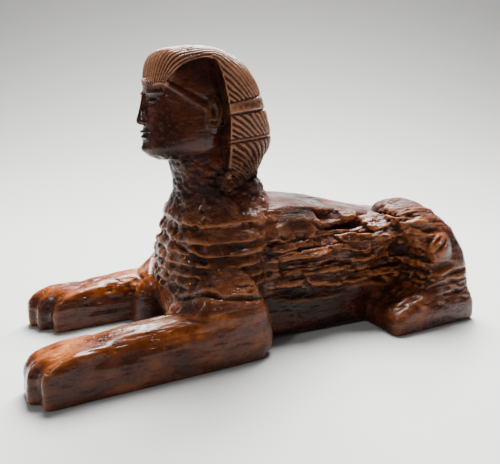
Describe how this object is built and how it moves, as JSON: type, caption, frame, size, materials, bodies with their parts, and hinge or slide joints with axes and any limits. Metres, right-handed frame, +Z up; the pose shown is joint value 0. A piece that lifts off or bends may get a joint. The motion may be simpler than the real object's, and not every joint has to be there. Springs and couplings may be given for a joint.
{
  "type": "sphinx statue",
  "caption": "Recumbent sphinx carved in dark lacquered wood, with outstretched forelegs, striped headcloth, collar rolls and rough-gouged flanks.",
  "frame": {"origin": "on the standing surface, under the middle of the statue's length and width", "axes": "+Z up, -Y the way the sphinx faces, +X towards the sphinx's left side"},
  "size_m": [0.1284, 0.2554, 0.1578],
  "materials": {
    "lacquered_wood": "stained dark red-brown and lacquered to a gloss, darker in the carved hollows"
  },
  "bodies": {
    "root": {"sphinx_statue": "lacquered_wood"}
  },
  "joints": []
}
